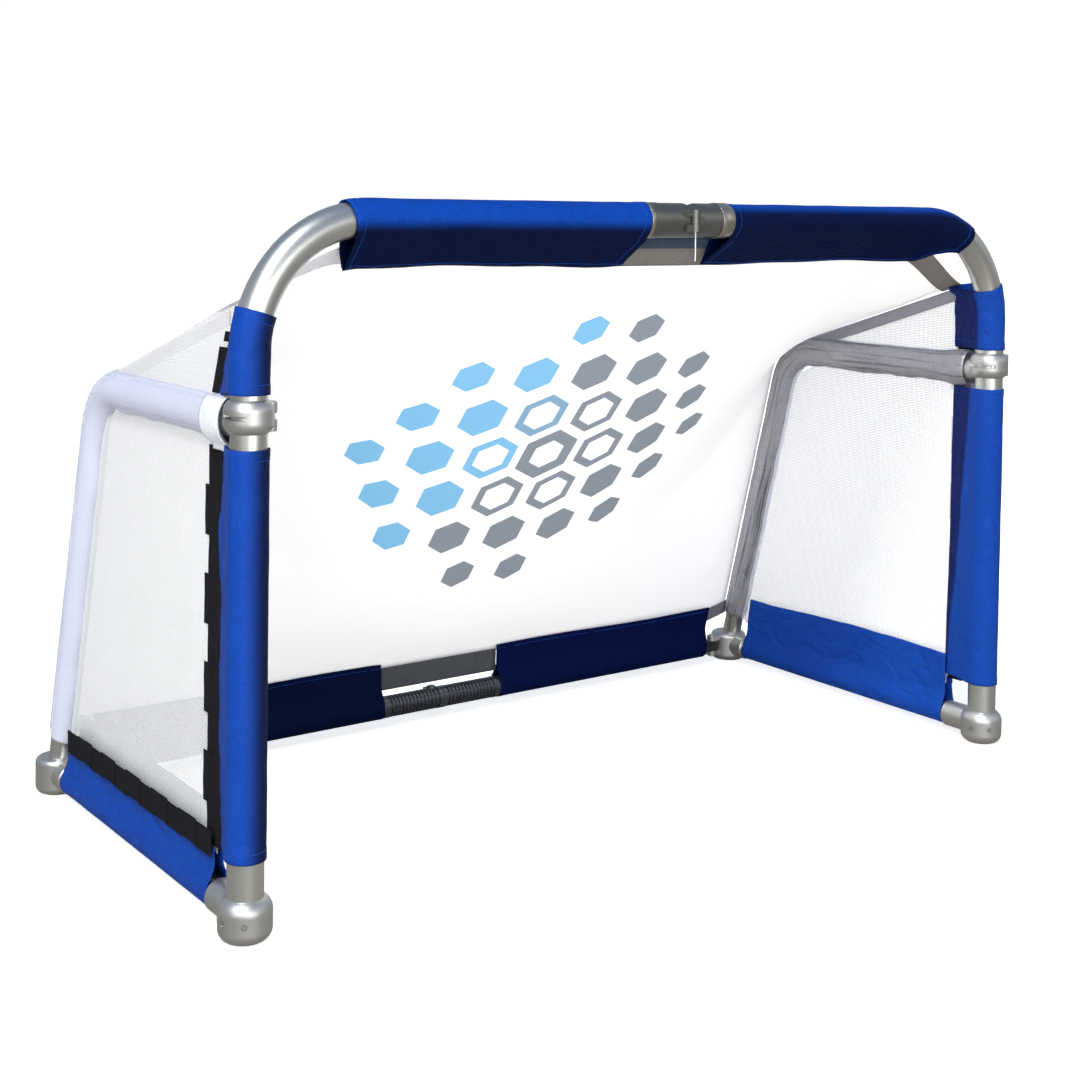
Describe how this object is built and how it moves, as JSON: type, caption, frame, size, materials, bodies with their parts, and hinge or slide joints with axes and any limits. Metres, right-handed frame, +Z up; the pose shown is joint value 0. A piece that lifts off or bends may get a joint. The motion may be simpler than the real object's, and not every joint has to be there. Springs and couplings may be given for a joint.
{
  "type": "folding goal",
  "caption": "Portable folding goal: tube hoop hinged at the crossbar, folding side frames and rear bar, blue fabric sleeves, mesh side nets and a taut white back net.",
  "frame": {"origin": "on the ground, midway between the two posts and between the posts and the rear feet", "axes": "+X along the crossbar to the right seen from the mouth, +Y from the mouth towards the rear bar, +Z up"},
  "size_m": [1.574, 0.764, 0.9882],
  "materials": {
    "tube": "satin drawn tube",
    "casting": "satin cast and tumbled",
    "hinge_casting": "satin, slightly worn",
    "ribbed_hinge": "dark moulded with glossy crests",
    "plastic_fitting": "dark moulded",
    "steel": "zinc plated",
    "button": "dark moulded",
    "blue_cloth": "coated woven polyester",
    "mesh": "fine open mesh",
    "hook_tape": "hook and loop tape",
    "back_cloth": "white woven polyester with a plain printed honeycomb",
    "grey_cloth": "grey woven polyester",
    "cord": "white braided cord"
  },
  "bodies": {
    "side_left": {"collar_left": "casting", "front_foot_left": "casting", "foot_screws_left": "steel", "rear_foot_left": "casting", "rear_pivot_pin_left": "steel", "side_tube_left": "tube", "base_tube_left": "tube", "post_sleeve_lower_left": "blue_cloth", "side_tube_pocket_left": "mesh", "side_net_left": "mesh", "side_skirt_left": "blue_cloth", "velcro_post_left": "hook_tape", "velcro_base_left": "hook_tape", "back_net_left": "back_cloth", "top_band_left": "grey_cloth", "rear_band_left": "grey_cloth"},
    "hoop_left": {"hoop_tube_left": "tube", "stop_screw_left": "steel", "top_hinge_left": "hinge_casting", "crossbar_sleeve_left": "blue_cloth", "post_sleeve_upper_left": "blue_cloth", "top_hinge_pin": "steel", "pull_cord": "cord"},
    "rear_left": {"rear_tube_left": "tube", "rear_end_fitting_left": "plastic_fitting", "rear_hinge_left": "ribbed_hinge", "rear_skirt_left": "blue_cloth", "rear_hinge_pin": "steel", "rear_button_spring": "steel"},
    "side_right": {"collar_right": "casting", "front_foot_right": "casting", "foot_screws_right": "steel", "rear_foot_right": "casting", "rear_pivot_pin_right": "steel", "side_tube_right": "tube", "base_tube_right": "tube", "post_sleeve_lower_right": "blue_cloth", "side_tube_pocket_right": "mesh", "side_net_right": "mesh", "side_skirt_right": "blue_cloth", "velcro_post_right": "hook_tape", "velcro_base_right": "hook_tape", "back_net_right": "back_cloth", "top_band_right": "grey_cloth", "rear_band_right": "grey_cloth"},
    "hoop_right": {"hoop_tube_right": "tube", "stop_screw_right": "steel", "top_hinge_right": "hinge_casting", "crossbar_sleeve_right": "blue_cloth", "post_sleeve_upper_right": "blue_cloth", "top_button_spring": "steel"},
    "rear_right": {"rear_tube_right": "tube", "rear_end_fitting_right": "plastic_fitting", "rear_hinge_right": "ribbed_hinge", "rear_skirt_right": "blue_cloth"},
    "top_button": {"top_release_button": "button"},
    "rear_button": {"rear_release_button": "button"}
  },
  "joints": [
    {"name": "left_post_fold", "type": "hinge", "parent": "side_left", "child": "hoop_left", "pos_m": [-0.75, -0.345, 0.7], "axis": [0, 0, 1], "range_deg": [0, 85.5], "deforming": ["back_net_left", "back_net_right", "top_band_left", "top_band_right", "rear_band_left", "rear_band_right"]},
    {"name": "top_hinge_fold", "type": "hinge", "parent": "hoop_left", "child": "hoop_right", "pos_m": [0, -0.374, 0.96], "axis": [0, 0, 1], "range_deg": [-171, 0]},
    {"name": "right_post_fold", "type": "hinge", "parent": "hoop_right", "child": "side_right", "pos_m": [0.75, -0.345, 0.7], "axis": [0, 0, 1], "range_deg": [0, 85.5]},
    {"name": "left_rear_fold", "type": "hinge", "parent": "side_left", "child": "rear_left", "pos_m": [-0.702, 0.345, 0.034], "axis": [0, 0, 1], "range_deg": [-89.1, 0]},
    {"name": "right_rear_fold", "type": "hinge", "parent": "side_right", "child": "rear_right", "pos_m": [0.702, 0.345, 0.034], "axis": [0, 0, 1], "range_deg": [0, 89.1]},
    {"name": "top_button_press", "type": "slide", "parent": "hoop_right", "child": "top_button", "axis": [0, 0, -1], "range_m": [0, 0.004], "stiffness_N_per_m": 300, "deforming": ["top_button_spring"]},
    {"name": "rear_button_press", "type": "slide", "parent": "rear_left", "child": "rear_button", "axis": [0, 0, -1], "range_m": [0, 0.004], "stiffness_N_per_m": 300, "deforming": ["rear_button_spring"]}
  ],
  "couplings": [
    {"joint": "top_hinge_fold", "follows": "left_post_fold", "ratio": -2},
    {"joint": "right_post_fold", "follows": "left_post_fold", "ratio": 1},
    {"joint": "left_rear_fold", "follows": "left_post_fold", "ratio": -1.0414},
    {"joint": "right_rear_fold", "follows": "left_post_fold", "ratio": 1.0414}
  ]
}
